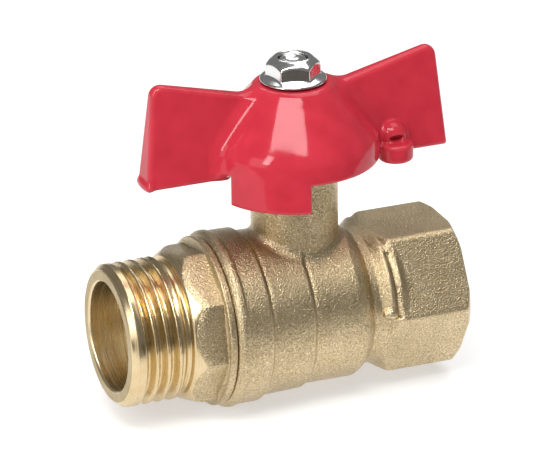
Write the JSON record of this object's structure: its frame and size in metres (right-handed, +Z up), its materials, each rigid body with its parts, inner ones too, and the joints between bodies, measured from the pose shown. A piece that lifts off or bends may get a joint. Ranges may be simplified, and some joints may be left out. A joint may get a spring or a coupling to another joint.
{
  "type": "ball valve",
  "caption": "Small brass ball valve with a male threaded end, a female hexagonal end and a red butterfly handle.",
  "frame": {"origin": "middle of the length and width, at the height of the lowest point of the round body band", "axes": "+X along the pipe towards the female hexagonal end, +Z up along the stem towards the handle nut, +Y towards the back"},
  "size_m": [0.0526, 0.026, 0.0518],
  "materials": {
    "body_brass": "sandblasted forging, dull and finely grained",
    "turned_brass": "turned, bright with fine tool lines",
    "ball_chrome": "polished",
    "ptfe": "smooth waxy white",
    "seal_rubber": "satin black",
    "handle_enamel": "thick glossy red coating",
    "nut_chrome": "bright plated"
  },
  "bodies": {
    "housing": {"valve_body": "body_brass", "end_connector": "turned_brass", "seat_ring_inlet": "ptfe", "seat_ring_outlet": "ptfe", "joint_o_ring": "seal_rubber", "stem_thrust_washer": "ptfe", "stem_packing": "ptfe", "gland_nut": "turned_brass"},
    "lever": {"stem": "turned_brass", "stem_o_ring_lower": "seal_rubber", "stem_o_ring_upper": "seal_rubber", "handle": "handle_enamel", "handle_nut": "nut_chrome"},
    "plug": {"ball": "ball_chrome"}
  },
  "joints": [
    {"name": "handle_turn", "type": "hinge", "parent": "housing", "child": "lever", "pos_m": [0.00291, 0, 0.04305], "axis": [0, 0, 1], "range_deg": [-90, 0]},
    {"name": "ball_turn", "type": "hinge", "parent": "housing", "child": "plug", "pos_m": [0.00291, 0, 0.01305], "axis": [0, 0, 1], "range_deg": [-90, 0]}
  ],
  "couplings": [
    {"joint": "ball_turn", "follows": "handle_turn", "ratio": 1}
  ]
}
